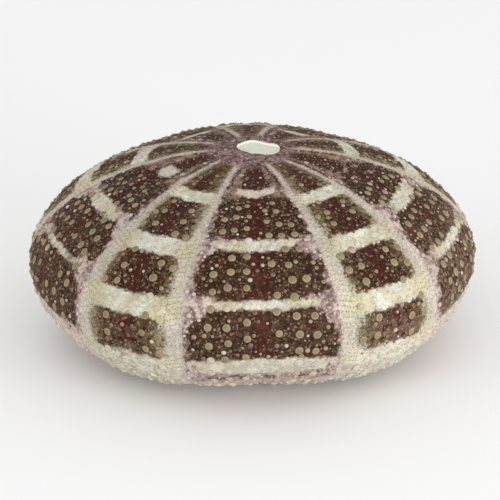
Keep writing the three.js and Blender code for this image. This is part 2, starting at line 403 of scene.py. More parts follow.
def blend(share, first, second):
    """The first colours where the share is 0, the second where it is 1."""
    share = share[:, None]
    return first * (1 - share) + second * share


def pore_tint(found, length):
    """Colours in the pore zones: pale along the seam, and olive next to the dark panels and near the apex."""
    count = len(length)
    inner = pick((0.5, 0.3, 0.2), (OLIVE, OLIVE_CREAM, MID_BROWN), count)
    light = pick((0.3, 0.7), (YELLOW_CREAM, PALE_PORES), count)
    light = blend(smooth(52, 66, length), light, pick((0.6, 0.4), (GREY_CREAM, PALE_PORES), count))
    wobble = RANDOM.normal(0, 0.45, count)
    pale_width = 0.8 + 2.7 * smooth(20, 50, length)
    by_seam = smooth(pale_width + 0.8, pale_width - 0.4, found["seam"] + wobble)
    by_bar = 0.75 * smooth(-1.2, 0.6, found["bar"] + wobble) * smooth(30, 45, length)
    low = 0.6 * smooth(58, 70, length)
    return blend(np.maximum(np.maximum(by_seam, by_bar), low), inner, light)


def tint_for(azimuth, length, dark):
    """Colours for things that stand on the wall: dark is (weights, colours) for those on the dark panels."""
    found = fields(azimuth, length)
    count = len(azimuth)
    wobble = RANDOM.normal(0, 0.35, count)
    tint = pick(*dark, count)
    on_mauve = (found["mauve"] + wobble > 0)[:, None]
    tint = np.where(on_mauve, pick((0.7, 0.3), (PINK, MAUVE), count), tint)
    in_pores = ((found["pore"] > 0) & (found["inter"] == 0))[:, None]
    tint = np.where(in_pores, pore_tint(found, length), tint)
    young = found["inter"] * smooth(25, 21, length)
    tint = blend(young, tint, pick((0.7, 0.3), (TAN, PINK), count))
    from_middle = smooth(3.0, 8.5, found["middle"])
    bar_tint = blend(from_middle, linear(WHITE_GREEN), linear(YELLOW_CREAM))
    bar_tint = blend(found["inter"] * smooth(66, 69, length), bar_tint, linear(GREY_CREAM))
    on_bar = (found["bar"] + wobble > 0.15)[:, None]
    tint = np.where(on_bar, bar_tint * RANDOM.uniform(0.88, 1.0, (count, 1)), tint)
    pale = np.maximum(smooth(-1.0, 3.0, found["pale"] + 3 * wobble), 0.6 * smooth(73.0, 76.0, length))
    tint = blend(pale, tint, pick((0.75, 0.25), (PALE_BASE, PINK), count))
    apex = smooth(-1.0, 1.5, found["apex"] + wobble)
    tint = blend(apex, tint, pick((0.5, 0.5), (MAUVE, PINK), count))
    return tint * (0.72 + 0.28 * smooth(16, 36, length))[:, None]


# Meshes

def placed(name, data):
    thing = bpy.data.objects.new(name, data)
    bpy.context.scene.collection.objects.link(thing)
    return thing


def mesh_object(name, points, faces, finish, body="root"):
    """A smooth mesh of points in millimetres and faces of three or more corners, riding on the body."""
    mesh = bpy.data.meshes.new(name)
    loops = np.concatenate([np.asarray(face, np.int32).ravel() for face in faces])
    sizes = np.concatenate([np.full(len(face), np.shape(face)[1], np.int32) for face in faces])
    starts = np.concatenate([[0], np.cumsum(sizes)[:-1]]).astype(np.int32)
    mesh.vertices.add(len(points))
    mesh.vertices.foreach_set("co", (np.asarray(points) * MM).astype(np.float32).ravel())
    mesh.loops.add(len(loops))
    mesh.loops.foreach_set("vertex_index", loops)
    mesh.polygons.add(len(sizes))
    mesh.polygons.foreach_set("loop_start", starts)
    mesh.polygons.foreach_set("loop_total", sizes)
    mesh.update(calc_edges=True)
    mesh.polygons.foreach_set("use_smooth", np.ones(len(sizes), bool))
    mesh.materials.append(finish)
    piece = placed(name, mesh)
    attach(piece, body)
    return piece


def add_values(piece, name, values, kind="FLOAT", field="value"):
    attribute = piece.data.attributes.new(name, kind, "POINT")
    attribute.data.foreach_set(field, np.asarray(values, np.float32).ravel())


def add_map(piece, uv):
    """Gives the mesh the map that its finish is laid out on, one pair for each corner."""
    layer = piece.data.uv_layers.new(name="OFBake")
    layer.data.foreach_set("uv", np.asarray(uv, np.float32).ravel())


# How far a knob's tip is over its last ring, in diameters, and the room it has on the map, in radii.
TIP_RISE = 0.02
MAP_ROOM = 2.3


def frames_for(normals):
    """Two directions across each normal, turned by chance."""
    helper = np.where(np.abs(normals[:, 2:3]) < 0.9, [[0.0, 0.0, 1.0]], [[0.0, 1.0, 0.0]])
    first = np.cross(helper, normals)
    first /= np.linalg.norm(first, axis=1)[:, None]
    second = np.cross(normals, first)
    turn = RANDOM.uniform(0, 2 * math.pi, (len(normals), 1))
    return first * np.cos(turn) + second * np.sin(turn), second * np.cos(turn) - first * np.sin(turn)


def ring_quads(start, sides):
    """Quads between a ring of points, from each start on, and the next ring of as many sides."""
    now = np.arange(sides)
    after = (now + 1) % sides
    corners = [start + now, start + after, start + sides + after, start + sides + now]
    return np.stack(corners, -1).reshape(-1, 4)


def knobs(name, azimuth, length, sizes, section, sides, dark, finish, high=1.0):
    """Many turned knobs in one mesh. The section is (radius, height) pairs in diameters, from foot to tip."""
    places, normals = on_wall(azimuth, length)
    tints = tint_for(azimuth, length, dark)
    count, rings = len(places), len(section)
    across, along = frames_for(normals)
    angle = np.arange(sides) * 2 * math.pi / sides
    radial, rise = np.array(section).T
    rise = rise * high
    circle = np.stack([np.cos(angle), np.sin(angle)], -1)
    spoke = across[:, None] * circle[None, :, :1] + along[:, None] * circle[None, :, 1:]
    ring = radial[None, :, None, None] * spoke[:, None] + rise[None, :, None, None] * normals[:, None, None]
    ring = ring * sizes[:, None, None, None]
    points = (places[:, None, None, :] + ring).reshape(count, rings * sides, 3)
    tip = places + normals * (rise[-1] + TIP_RISE) * sizes[:, None]
    points = np.concatenate([points, tip[:, None, :]], 1)
    each = rings * sides + 1
    points = points.reshape(-1, 3)
    points[:, 2] = np.maximum(points[:, 2], 0.0)
    start = (np.arange(count) * each)[:, None]
    quads = [ring_quads(start + ring_number * sides, sides) for ring_number in range(rings - 1)]
    now = np.arange(sides)
    top = start + (rings - 1) * sides
    peak = np.broadcast_to(start + rings * sides, (count, sides))
    caps = np.stack([top + now, top + (now + 1) % sides, peak], -1)
    foot = start + now[::-1]
    piece = mesh_object(name, points, [*quads, caps.reshape(-1, 3), foot], finish)
    share = np.concatenate([np.repeat(radial, sides), [0.0]]) * 2
    add_values(piece, "rim", np.tile(share, count))
    add_values(piece, "chance", np.repeat(RANDOM.random(count), each))
    tints = np.repeat(np.pad(tints, ((0, 0), (0, 1)), constant_values=1), each, 0)
    add_values(piece, "tint", tints, "FLOAT_COLOR", "color")
    cells = math.ceil(math.sqrt(count))
    cell = np.stack([np.arange(count) % cells, np.arange(count) // cells], -1)
    flat = np.concatenate([(radial[:, None, None] * circle).reshape(-1, 2), [[0.0, 0.0]]])
    flat = flat / (MAP_ROOM * np.abs(flat).max()) + 0.5
    spots = ((cell[:, None, :] + flat[None]) / cells).reshape(-1, 2)
    corners = np.empty(len(piece.data.loops), np.int32)
    piece.data.loops.foreach_get("vertex_index", corners)
    add_map(piece, spots[corners])


# The wall

def hole_radius(azimuth):
    """How far the periproct's edge is from the axis at an azimuth."""
    turn = np.radians(azimuth)
    ray = np.stack([np.sin(turn), -np.cos(turn)], -1)
    tilt = math.radians(-PERIPROCT["turn"])
    axes = np.array([[math.cos(tilt), math.sin(tilt)], [-math.sin(tilt), math.cos(tilt)]])
    size = np.array([PERIPROCT["radius"] * PERIPROCT["oval"], PERIPROCT["radius"] / PERIPROCT["oval"]])
    centre = axes @ np.array([PERIPROCT["x"], PERIPROCT["y"]]) / size
    way = (ray @ axes.T) / size
    a = (way ** 2).sum(-1)
    b = -(way @ centre)
    c = (centre ** 2).sum() - 1
    uneven = 0.1 * np.sin(3 * turn + 1.1)
    return (-b + np.sqrt(b * b - a * c)) / a + uneven


def lip_radius(azimuth):
    """How far the peristome's edge is from the axis at an azimuth, gill slits and all."""
    offset = azimuth - (np.floor(azimuth / ZONE_STEP) + 0.5) * ZONE_STEP
    slit = np.abs(np.abs(offset) - GILL_SLITS["azimuth"]) * math.pi / 180 * PERISTOME["radius"]
    width = GILL_SLITS["width"]
    cut = GILL_SLITS["depth"] * (1 - smooth(0.35 * width, 0.75 * width, slit))
    turn = np.radians(azimuth)
    return PERISTOME["radius"] + cut + 0.3 * np.cos(ZONES * turn) + 0.15 * np.sin(11 * turn + 0.5)


COLUMNS, APICAL_ROWS, DOWN_ROWS, ORAL_ROWS, INNER_ROWS = 600, 8, 112, 12, 24
APICAL_RADIUS, ORAL_FROM = 10.0, 22.5
# How the wall turns in at its two edges: how far it drops there, and over which shares of the rows.
HOLE_DROP, HOLE_FADE, HOLE_START, THIN_FROM = 0.5, 0.09, 0.03, 0.86
LIP_DROP, LIP_FROM, LIP_SWELL = 0.25, 0.8, 0.35


def wall_rows():
    """Rings of points from the inner edge of the periproct, over the outside, and back inside."""
    azimuth = np.arange(COLUMNS) * 360.0 / COLUMNS
    turn = np.radians(azimuth)
    hole_length, lip_length = length_above(hole_radius(azimuth)), length_below(lip_radius(azimuth))
    apical_end, oral_start = length_above(APICAL_RADIUS), length_below(ORAL_FROM)
    rows, kinds, at = [], [], []

    def add(length, out, kind, inward=0.0):
        place, _ = on_wall(azimuth, length, out)
        place[:, 0] -= inward * np.sin(turn)
        place[:, 1] += inward * np.cos(turn)
        rows.append(place)
        at.append(np.broadcast_to(length, azimuth.shape))
        kinds.append(np.full(COLUMNS, kind))

    for share in np.linspace(0, 1, APICAL_ROWS, endpoint=False):
        length = hole_length + (apical_end - hole_length) * (share + HOLE_START)
        add(length, -HOLE_DROP * hump(share, HOLE_FADE), 0.0)
    for length in np.linspace(apical_end, oral_start, DOWN_ROWS, endpoint=False):
        add(length, 0.0, 0.0)
    for share in np.linspace(0, 1, ORAL_ROWS):
        length = oral_start + (lip_length - oral_start) * share
        add(length, -LIP_DROP * smooth(LIP_FROM, 1.0, share), 0.0)
    for share in (0.25, 0.5, 0.75):
        add(lip_length, -WALL * share, 0.6 + 0.4 * share, LIP_SWELL * math.sin(math.pi * share))
    for share in np.linspace(0, 1, INNER_ROWS):
        length = lip_length + (hole_length - lip_length) * share
        depth = -WALL + (WALL - PERIPROCT["rim"]) * smooth(THIN_FROM, 1.0, share)
        add(length, depth, 1.0)
    for share in (0.66, 0.33):
        add(hole_length, -PERIPROCT["rim"] * share, 1.0)
    return azimuth, np.array(rows), np.array(at), np.array(kinds)


def build_wall():
    azimuth, rows, at, kinds = wall_rows()
    count = len(rows)
    rows[..., 2] = np.maximum(rows[..., 2], 0.0)
    now = np.arange(COLUMNS)
    after = (now + 1) % COLUMNS
    row = np.arange(count)[:, None]
    below = (row + 1) % count
    corners = [row * COLUMNS + now, below * COLUMNS + now, below * COLUMNS + after, row * COLUMNS + after]
    found = fields(azimuth, at)
    quads = np.stack(corners, -1).reshape(-1, 4)
    piece = mesh_object("test_wall", rows.reshape(-1, 3), [quads], wall_finish([*found, "inside"]))
    for name, values in found.items():
        add_values(piece, name, np.clip(values, FAR_OUT, FAR_IN))
    add_values(piece, "inside", kinds)
    step = np.linalg.norm(np.diff(rows, axis=0, append=rows[:1]), axis=-1).mean(1)
    reached = np.concatenate([[0], np.cumsum(step)])
    reached = reached / reached[-1]
    uv = np.empty((count, COLUMNS, 4, 2))
    uv[:, :, :2, 0] = now[:, None] / COLUMNS
    uv[:, :, 2:, 0] = (now[:, None] + 1) / COLUMNS
    uv[:, :, [0, 3], 1] = reached[:-1, None, None]
    uv[:, :, 1:3, 1] = reached[1:, None, None]
    add_map(piece, uv)
    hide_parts("urchin_test")


# What stands on the wall

def growth(length):
    return np.clip(length / PLATE["grown_at"], 0, 1)


def plate_height(length):
    return PLATE["young"] + (PLATE["grown"] - PLATE["young"]) * growth(length)


def plate_lengths():
    """Where the rows of plates lie down the meridian, in step with the solid's."""
    up = [ROWS["first"]]
    while up[-1] > ROWS["top"]:
        up.append(up[-1] - plate_height(up[-1]) * ROWS["upward"])
    down = [ROWS["first"]]
    while down[-1] < FULL_LENGTH - ROWS["end"]:
        down.append(down[-1] + plate_height(down[-1]))
    lengths = np.array(sorted(set(up + down)))
    return lengths + plate_height(lengths) / 4


# Columns of large tubercles: the zone, the azimuth off its middle, the stretch of the meridian,
# the diameter where they are full-grown, and the share of plates that have one.
LARGE_COLUMNS = [
    ("inter", 12.3, 12.0, 24.0, 2.7, 1.0),
    ("inter", 8.9, 24.5, 112.0, 2.1, 1.0),
    ("inter", 4.15, 27.0, 104.0, 1.9, 0.88),
    ("inter", 13.35, 31.0, 108.0, 2.0, 0.95),
    ("ambu", 5.6, 14.0, 112.0, 2.05, 0.97),
    ("ambu", 9.75, 33.0, 106.0, 2.0, 0.85),
]


def column_places(zone, off, start, end):
    """Azimuths and lengths of one tubercle a plate, in the columns left and right of each zone's middle."""
    lengths = plate_lengths()
    places = []
    for number, side in product(range(ZONES), (-1, 1)):
        middle = number * ZONE_STEP + (0 if zone == "inter" else ZONE_STEP / 2)
        stagger = 0.5 if (side > 0) == (zone == "inter") else 0.0
        down = lengths + stagger * plate_height(lengths) + PLATE["droop"] * off
        down = down[(down > start) & (down < end)]
        places.append((np.full(len(down), middle + side * off), down))
    return map(np.concatenate, zip(*places))


def some(azimuth, length, share):
    """About so large a share of the points, by chance."""
    kept = RANDOM.random(len(azimuth)) < share
    return azimuth[kept], length[kept]


BOSS = [(0.52, -0.14), (0.49, 0.03), (0.4, 0.11), (0.25, 0.14), (0.19, 0.2), (0.1, 0.24)]
SMALL_BOSS = [(0.5, -0.15), (0.46, 0.07), (0.33, 0.2), (0.16, 0.28)]
GRANULE = [(0.5, -0.15), (0.4, 0.16)]
PORE = [(0.5, -0.06), (0.42, 0.1), (0.29, 0.02)]
BOSS_HIGH = 0.85

# Colours of what stands on the dark panels, by weight.
LARGE_TINTS = ((0.78, 0.18, 0.04), (KHAKI, TAN, DULL_PINK))
SMALL_TINTS = ((0.1, 0.12, 0.26, 0.28, 0.24), (PINK, DULL_PINK, KHAKI, MID_BROWN, PURPLE))
GRAIN_TINTS = ((0.44, 0.26, 0.08, 0.22), (DARK_OLIVE, GRAIN_OLIVE, GRAIN_BROWN, MID_BROWN))
PORE_TINTS = ((1.0,), (OLIVE_CREAM,))


def large_tubercles():
    columns = []
    for zone, off, start, end, size, share in LARGE_COLUMNS:
        azimuth, length = some(*column_places(zone, off, start, end), share)
        azimuth = azimuth + RANDOM.normal(0, 0.22, len(azimuth)) / mm_per_degree(length)
        length = length + RANDOM.normal(0, 0.2, len(length))
        young = 0.42 + 0.58 * smooth(8, 46, length)
        old = 1 - 0.3 * smooth(84, 108, length)
        columns.append((azimuth, length, size * young * old * RANDOM.uniform(0.9, 1.08, len(length))))
    azimuth, length, size = map(np.concatenate, zip(*columns))
    finish = knob_finish("large_tubercle_calcite", 0.5, 0.5)
    knobs("large_tubercles", azimuth, length, size, BOSS, 12, LARGE_TINTS, finish, BOSS_HIGH)
    return azimuth, length, size


def clear_of(azimuth, length, size, taken, gap):
    """Keeps the things that don't stand on those already taken, each (azimuth, length, size)."""
    place, _ = on_wall(azimuth, length)
    free = np.ones(len(azimuth), bool)
    for other_azimuth, other_length, other_size in taken:
        other, _ = on_wall(other_azimuth, other_length)
        for start in range(0, len(place), 2000):
            part = slice(start, start + 2000)
            apart = np.linalg.norm(place[part, None, :] - other[None], axis=-1)
            least = (size[part, None] + other_size[None]) / 2 + gap
            free[part] &= (apart > least).all(1)
    return azimuth[free], length[free], size[free]


def spread(count, start, end):
    """Points all over the outer wall, how far off the middle of their zone, and whether in its pores."""
    grid = np.linspace(start, end, 400)
    weight = np.cumsum(radius_at(grid))
    length = np.interp(RANDOM.random(count) * weight[-1], weight, grid)
    azimuth = RANDOM.uniform(0, 360, count)
    inter, _, offset = zone_of(azimuth)
    off = np.abs(offset)
    return azimuth, length, off, ~inter & (off > PORES_FROM)


def thinned(azimuth, length, size, gap):
    """Drops every point that is nearer to an earlier one than their sizes and the gap allow."""
    place, _ = on_wall(azimuth, length)
    cell = float(size.max() + gap)
    keys = np.floor(place / cell).astype(int)
    boxes, kept = {}, []
    for i, key in enumerate(map(tuple, keys)):
        near = [j for box in product(*((k - 1, k, k + 1) for k in key)) for j in boxes.get(box, ())]
        if all(np.linalg.norm(place[i] - place[j]) > (size[i] + size[j]) / 2 + gap for j in near):
            boxes.setdefault(key, []).append(i)
            kept.append(i)
    return azimuth[kept], length[kept], size[kept]


def small_tubercles(taken):
    """Smaller tubercles between the large ones, closer together along the edges of the interambulacra."""
    azimuth, length, off, in_pores = spread(16000, 9.0, FULL_LENGTH - 3)
    wanted = np.where((off > 14.6) & (off < 19.4), 0.9, 0.5)
    azimuth, length = some(azimuth, length, np.where(in_pores, 0, wanted))
    size = (0.6 + 0.75 * RANDOM.random(len(azimuth)) ** 1.6) * (0.55 + 0.45 * smooth(10, 40, length))
    azimuth, length, size = thinned(*clear_of(azimuth, length, size, taken, 0.08), 0.4)
    finish = knob_finish("small_tubercle_calcite", 0.25, 0.35)
    knobs("small_tubercles", azimuth, length, size, SMALL_BOSS, 8, SMALL_TINTS, finish)
    return azimuth, length, size


def granules(taken):
    """The finest grains, all over the plates between the tubercles."""
    azimuth, length, off, in_pores = spread(30000, 7.0, FULL_LENGTH - 2)
    stripe = off * mm_per_degree(length) < 1.6
    found = fields(azimuth, length)
    smoother = (found["bar"] > 0.2) | ((found["pale"] > 1.0) & (length < 84))
    wanted = np.where(in_pores, 0.6, np.where(stripe, 0.4, 1.0)) * np.where(smoother, 0.3, 1.0)
    azimuth, length = some(azimuth, length, wanted)
    size = RANDOM.uniform(0.3, 0.55, len(azimuth))
    azimuth, length, size = thinned(*clear_of(azimuth, length, size, taken, 0.03), 0.12)
    finish = knob_finish("granule_calcite", 0.1, 0.3)
    knobs("granules", azimuth, length, size, GRANULE, 5, GRAIN_TINTS, finish)


# Pairs of pores: the height of a row, half the distance in a pair, where the columns are in a zone that is
# so wide, and how steeply an arc of three climbs.
PORES = {"row": 1.3, "pair": 0.36, "columns": (0.75, 2.15, 3.55), "climb": 0.62, "width": 4.6}


def pores():
    """Pairs of tube-foot pores, three pairs in an arc, down both edges of every ambulacrum."""
    places = []
    length = 9.0
    while length < FULL_LENGTH - 1.5:
        row = PORES["row"] * (0.6 + 0.4 * float(growth(length)))
        width = PORE_ZONE / PORES["width"]
        each = product(range(ZONES), (-1, 1), enumerate(PORES["columns"]), (-1, 1))
        for number, side, (step, column), pair in each:
            across = AMBU_HALF - (column + pair * PORES["pair"]) * width
            down = length + step * row * PORES["climb"] / 2 + (row / 2 if side > 0 else 0)
            places.append(((number + 0.5) * ZONE_STEP + side * across, down))
        length += row
    azimuth, length = np.array(places).T
    azimuth = azimuth + RANDOM.normal(0, 0.06, len(azimuth)) / mm_per_degree(length)
    length = np.minimum(length + RANDOM.normal(0, 0.08, len(length)), FULL_LENGTH - 0.8)
    size = 0.6 * (0.45 + 0.55 * smooth(8, 45, length)) * RANDOM.uniform(0.85, 1.15, len(length))
    knobs("pores", azimuth, length, size, PORE, 6, PORE_TINTS, pore_finish())


def build_auricles():
    """Arches inside the peristome, one at each ambulacrum."""
    steps, sides = 28, 10
    turn = np.linspace(0, math.pi, steps)
    wave = np.sin(turn)
    centre_x = -np.cos(turn) * AURICLES["width"] / 2 * (1 - 0.12 * wave)
    centre_z = AURICLES["height"] * wave ** 0.62
    round_angle = np.arange(sides) * 2 * math.pi / sides
    tangent = np.gradient(np.stack([centre_x, centre_z], -1), axis=0)
    tangent /= np.linalg.norm(tangent, axis=1)[:, None]
    side = np.stack([-tangent[:, 1], tangent[:, 0]], -1)
    broad = AURICLES["broad"] / 2 * (1.35 - 0.5 * wave)
    thick = AURICLES["thick"] / 2 * (1.3 - 0.4 * wave)
    x = centre_x[:, None] + side[:, :1] * broad[:, None] * np.cos(round_angle)
    z = centre_z[:, None] + side[:, 1:] * broad[:, None] * np.cos(round_angle)
    y = thick[:, None] * np.sin(round_angle) * np.ones_like(x)
    lean = math.radians(AURICLES["lean"])
    y, z = y * math.cos(lean) + z * math.sin(lean), z * math.cos(lean) - y * math.sin(lean)
    y, z = y - AURICLES["radius"], z + PERISTOME["rise"] + WALL * 0.4
    zone = np.arange(ZONES)
    swing = np.radians((zone + 0.5) * ZONE_STEP)[:, None, None]
    swung = [x * np.cos(swing) - y * np.sin(swing), x * np.sin(swing) + y * np.cos(swing), z + 0 * swing]
    base = zone[:, None] * steps * sides
    quads = ring_quads((base + np.arange(steps - 1) * sides).reshape(-1, 1), sides)
    end = base + np.arange(sides)
    faces = [quads, end[:, ::-1], end + (steps - 1) * sides]
    mesh_object("auricles", np.stack(swung, -1).reshape(-1, 3), faces, auricle_finish())


# Finishes

# A low specular level, as the shell is matt.
SHINE = 0.1


class Finish:
    """A node material. Most calls add a node and return its output."""

    def __init__(self, name):
        self.material = bpy.data.materials.new(name)
        self.material.use_nodes = True
        self.tree = self.material.node_tree
        self.shader = self.tree.nodes["Principled BSDF"]
        self.place = self.node("TexCoord", output="Object")

    def node(self, kind, inputs=None, output=0, **settings):
        node = self.tree.nodes.new("ShaderNode" + kind)
        for key, value in settings.items():
            setattr(node, key, value)
        for key, value in (inputs or {}).items():
            self.put(node.inputs[key], value)
        return node.outputs[output]

    def put(self, socket, value):
        """Links or sets a socket. A colour of three parts is sRGB, and one of four is linear."""
        if isinstance(value, bpy.types.NodeSocket):
            self.tree.links.new(value, socket)
        elif socket.type == "RGBA" and len(value) == 3:
            socket.default_value = (*linear(value), 1.0)
        else:
            socket.default_value = value

    def attribute(self, name, output="Fac"):
        return self.node("Attribute", output=output, attribute_name=name)

    def math(self, operation, a, b):
        return self.node("Math", {0: a, 1: b}, operation=operation)

    def noise(self, size, detail, seed):
        """Noise of about 0 to 1 whose lumps are about size millimetres across."""
        inputs = {"Vector": self.place, "W": seed, "Scale": 1 / (size * MM), "Detail": detail}
        return self.node("TexNoise", inputs, noise_dimensions="4D")

    def cells(self, size, seed):
        """Distance to the nearest of random points, 0 at a point and about 1 between them."""
        shift = (seed, 1.7 * seed, 2.3 * seed)
        moved = self.node("VectorMath", {0: self.place, 1: shift}, operation="ADD")
        return self.node("TexVoronoi", {"Vector": moved, "Scale": 1 / (size * MM)})

    def scaled(self, colour, factor):
        return self.node("VectorMath", {0: colour, "Scale": factor}, operation="SCALE")

    def step(self, value, low, high):
        inputs = {"Value": value, "From Min": low, "From Max": high}
        return self.node("MapRange", inputs, interpolation_type="SMOOTHSTEP")

    def patches(self, size, seed, low, high, detail=3.0):
        """Patches of noise, 0 where it is below low and 1 where it is above high."""
        return self.step(self.noise(size, detail, seed), low, high)

    def mottled(self, first, second, size, seed, low, high, detail=3.0, share=1):
        """The first colour with patches of the second one, laid on at the share."""
        patches = self.patches(size, seed, low, high, detail)
        return self.mix(patches if share == 1 else self.times(patches, share), first, second)

    def swayed(self, field, size, seed, sway):
        """A field of distances in millimetres, with noise of 0 to sway added."""
        return self.plus(field, self.times(self.noise(size, 3.0, seed), sway))

    def edge(self, field, ragged, soft, size, seed):
        """1 inside a field of distances in millimetres, with an edge that is ragged and soft by so much."""
        shift = self.times(self.math("SUBTRACT", self.noise(size, 3.0, seed), 0.5), 2 * ragged)
        return self.step(self.plus(field, shift), -soft, soft)

    def mix(self, share, first, second):
        return self.node("Mix", {0: share, 6: first, 7: second}, 2, data_type="RGBA")

    def mix_value(self, share, first, second):
        return self.node("MapRange", {"Value": share, "To Min": first, "To Max": second})

    def times(self, a, b):
        return self.math("MULTIPLY", a, b)

    def plus(self, a, b):
        return self.math("ADD", a, b)

    def bump(self, height, distance, strength=1.0, under=None):
        inputs = {"Height": height, "Distance": distance * MM, "Strength": strength}
        if under is not None:
            inputs["Normal"] = under
        return self.node("Bump", inputs)

    def done(self, colour, roughness, normal):
        values = {"Base Color": colour, "Roughness": roughness, "Normal": normal, "Specular IOR Level": SHINE}
        for key, value in values.items():
            self.put(self.shader.inputs[key], value)
        return self.material


def panel_colour(f, at):
    """The dark panels, with spots, blotches, a burgundy stripe down the middle and worn places."""
    colour = f.mottled(DARK_OLIVE, DARK_BROWN, 3.0, 1.0, 0.38, 0.62)
    spots = f.times(f.step(f.cells(0.9, 2.0), 0.42, 0.2), f.patches(1.6, 3.0, 0.42, 0.6))
    spots = f.times(spots, f.mix_value(at.inter, 0.75, 0.6))
    colour = f.mix(spots, colour, f.mix(f.noise(2.5, 2.0, 3.5), OLIVE_CREAM, MAUVE))
    blotches = f.times(f.patches(1.0, 3.7, 0.48, 0.62, 4.0), f.mix_value(at.inter, 0.62, 0.42))
    colour = f.mix(blotches, colour, f.mix(f.noise(3.0, 2.0, 3.9), *BLOTCHES))
    shift = f.times(f.math("SUBTRACT", f.noise(2.4, 4.0, 4.0), 0.5), 6.5)
    stripe = f.times(f.step(f.plus(at.middle, shift), 3.0, 1.0), f.patches(1.1, 4.5, 0.64, 0.5))
    red = f.mottled(BURGUNDY, BLACK_RED, 1.3, 5.0, 0.35, 0.65)
    colour = f.mix(f.times(stripe, 0.85), colour, red)
    faded = f.mottled(*FADED, 1.5, 5.5, 0.4, 0.62)
    colour = f.mix(f.times(f.step(at.down, 73.0, 75.5), 0.95), colour, faded)
    worn_off = f.mottled(*WORN, 1.2, 5.7, 0.42, 0.6)
    return f.mottled(colour, worn_off, 1.3, 5.8, 0.42, 0.56, 4.0, share=at.worn)


def pore_zone_colour(f, at):
    """The pore zones: pale by the seam and the bars, olive by the panels and brown near the apex."""
    by_bar = f.step(f.swayed(at.bar, 2.0, 6.0, 3.0), -3.4, 2.2)
    pale_width = f.mix_value(f.step(at.down, 20.0, 52.0), 1.0, 3.6)
    outer = f.step(f.math("SUBTRACT", f.swayed(at.seam, 1.5, 6.5, 1.5), pale_width), 1.6, -0.2)
    share = f.times(outer, 0.85)
    cream = f.mix(f.step(at.down, 52.0, 66.0), YELLOW_CREAM, GREY_CREAM)
    colour = f.mix(by_bar, f.mix(share, OLIVE, PALE_PORES), f.mix(share, cream, PALE_PORES))
    colour = f.mottled(colour, PINK, 1.0, 7.0, 0.42, 0.66, share=0.35)
    specks = f.times(f.patches(0.6, 7.3, 0.48, 0.6, 2.0), f.mix_value(outer, 0.95, 0.35))
    colour = f.mix(f.times(specks, f.mix_value(by_bar, 1.0, 0.45)), colour, PORE_SPECK)
    young = f.mottled(*YOUNG, 1.2, 7.8, 0.38, 0.64)
    young = f.mix(f.step(at.seam, 1.1, 0.5), young, YOUNG_SEAM)
    return f.mix(f.times(f.step(at.down, 36.0, 22.0), 0.85), colour, young)


def mauve_colour(f):
    """The mauve shoulders and fringes of the interambulacra."""
    colour = f.mottled(PURPLE, MAUVE, 1.2, 9.0, 0.4, 0.6, 4.0)
    colour = f.mottled(colour, PINK, 1.8, 10.0, 0.45, 0.62)
    return f.mottled(colour, MID_BROWN, 1.4, 10.5, 0.56, 0.7, share=0.7)


def bar_colour(f, at):
    """The pale bars: white-green in the middle, cream at the ends, blushed near the apex, greyed low down."""
    off_middle = f.step(f.swayed(at.middle, 2.5, 11.5, 3.0), 4.5, 9.5)
    white = f.times(f.patches(4.0, 11.7, 0.4, 0.56), f.math("SUBTRACT", 1.0, off_middle))
    colour = f.mix(white, YELLOW_CREAM, WHITE_GREEN)
    blush = f.times(f.patches(1.5, 12.0, 0.42, 0.64, 4.0), f.mix_value(at.inter, 0.3, 0.75))
    young = f.times(f.times(f.step(at.down, 34.0, 28.0), at.inter), 0.7)
    colour = f.mix(f.math("MAXIMUM", blush, young), colour, PINK)
    colour = f.mottled(colour, BAR_SPECK, 0.8, 12.5, 0.52, 0.66, share=0.45)
    greyed = f.times(f.times(f.step(at.down, 66.0, 69.0), at.inter), 0.75)
    return f.mix(greyed, colour, f.mottled(GREY_CREAM, BAR_GREY, 2.2, 12.8, 0.4, 0.62))


def base_colour(f, at):
    """The pale underside and lower flank."""
    colour = f.mix(at.inter, PALE_BASE, PINK_BASE)
    colour = f.mottled(colour, BASE_MOTTLE, 2.2, 14.0, 0.42, 0.66, 4.0, share=0.8)
    return f.mottled(colour, BASE_SPECK, 1.3, 14.5, 0.52, 0.64, 4.0, share=0.55)


def apex_colour(f):
    """The mottled plates round the top hole."""
    colour = f.mottled(*APICAL, 1.3, 17.0, 0.38, 0.6, 4.0)
    colour = f.mottled(colour, PINK, 0.9, 18.0, 0.55, 0.7)
    return f.mottled(colour, TOP_SPOT, 1.8, 19.0, 0.56, 0.7)


